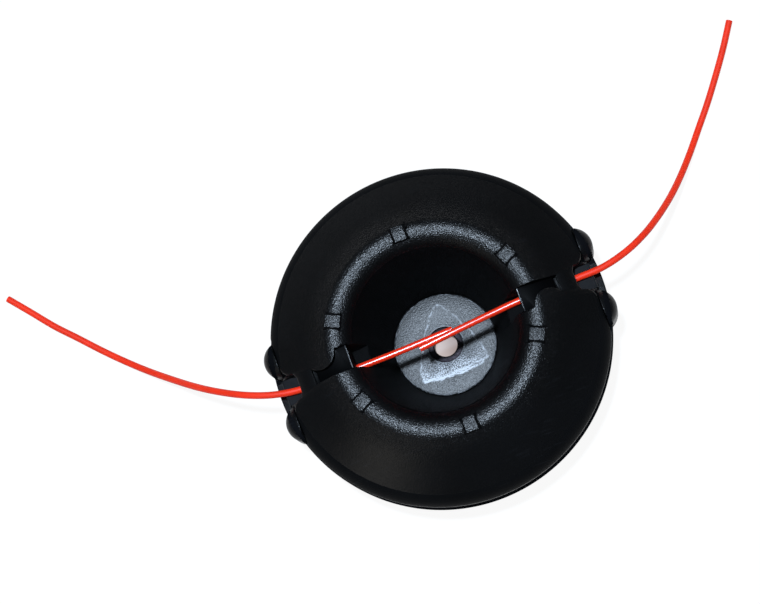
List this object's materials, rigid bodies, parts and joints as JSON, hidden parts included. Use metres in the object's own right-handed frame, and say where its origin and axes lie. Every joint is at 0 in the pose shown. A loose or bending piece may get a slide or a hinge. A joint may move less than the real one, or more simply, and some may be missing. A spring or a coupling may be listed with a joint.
{
  "type": "trimmer head",
  "caption": "Push-through line trimmer head with a cupped cover, toothed spring cams that grip each line, guide posts at the exits and an arbor bushing.",
  "frame": {"origin": "on the spin axis, at the plane of the hub ring that the head rests on", "axes": "+Z along the spin axis towards the cup side, +X along the line channel through the right exit"},
  "size_m": [0.3126, 0.1504, 0.0511],
  "materials": {
    "cover_plastic": "fine matte grain, glass-filled nylon",
    "base_plastic": "fine matte grain, glass-filled nylon",
    "bushing_steel": "dark phosphate",
    "cam_metal": "sintered",
    "pin_steel": "ground",
    "spring_steel": "drawn wire",
    "washer_steel": "zinc plated",
    "plate_steel": "hardened",
    "screw_steel": "black zinc",
    "line_nylon": "smooth extruded nylon"
  },
  "bodies": {
    "root": {"base_housing": "base_plastic", "cover": "cover_plastic", "arbor_bushing": "bushing_steel", "cam_pin_right": "pin_steel", "cam_pin_left": "pin_steel", "cam_spring_right": "spring_steel", "cam_spring_left": "spring_steel", "cam_washer_right": "washer_steel", "cam_washer_left": "washer_steel", "wear_plate_right": "plate_steel", "wear_plate_left": "plate_steel", "line_right": "line_nylon", "line_left": "line_nylon", "cover_screw_1": "screw_steel", "cover_screw_2": "screw_steel", "cover_screw_3": "screw_steel", "cover_screw_4": "screw_steel", "cover_screw_5": "screw_steel", "cover_screw_6": "screw_steel"},
    "cam_right": {"cam_right": "cam_metal"},
    "cam_left": {"cam_left": "cam_metal"}
  },
  "joints": [
    {"name": "cam_right_pivot", "type": "hinge", "parent": "root", "child": "cam_right", "pos_m": [0.044, -0.0073, 0.036], "axis": [0, 0, 1], "range_deg": [0, 15], "stiffness_Nm_per_rad": 0.004, "springref_deg": -40.11, "deforming": ["cam_spring_right"]},
    {"name": "cam_left_pivot", "type": "hinge", "parent": "root", "child": "cam_left", "pos_m": [-0.044, 0.0073, 0.036], "axis": [0, 0, 1], "range_deg": [0, 15], "stiffness_Nm_per_rad": 0.004, "springref_deg": -40.11, "deforming": ["cam_spring_left"]}
  ]
}
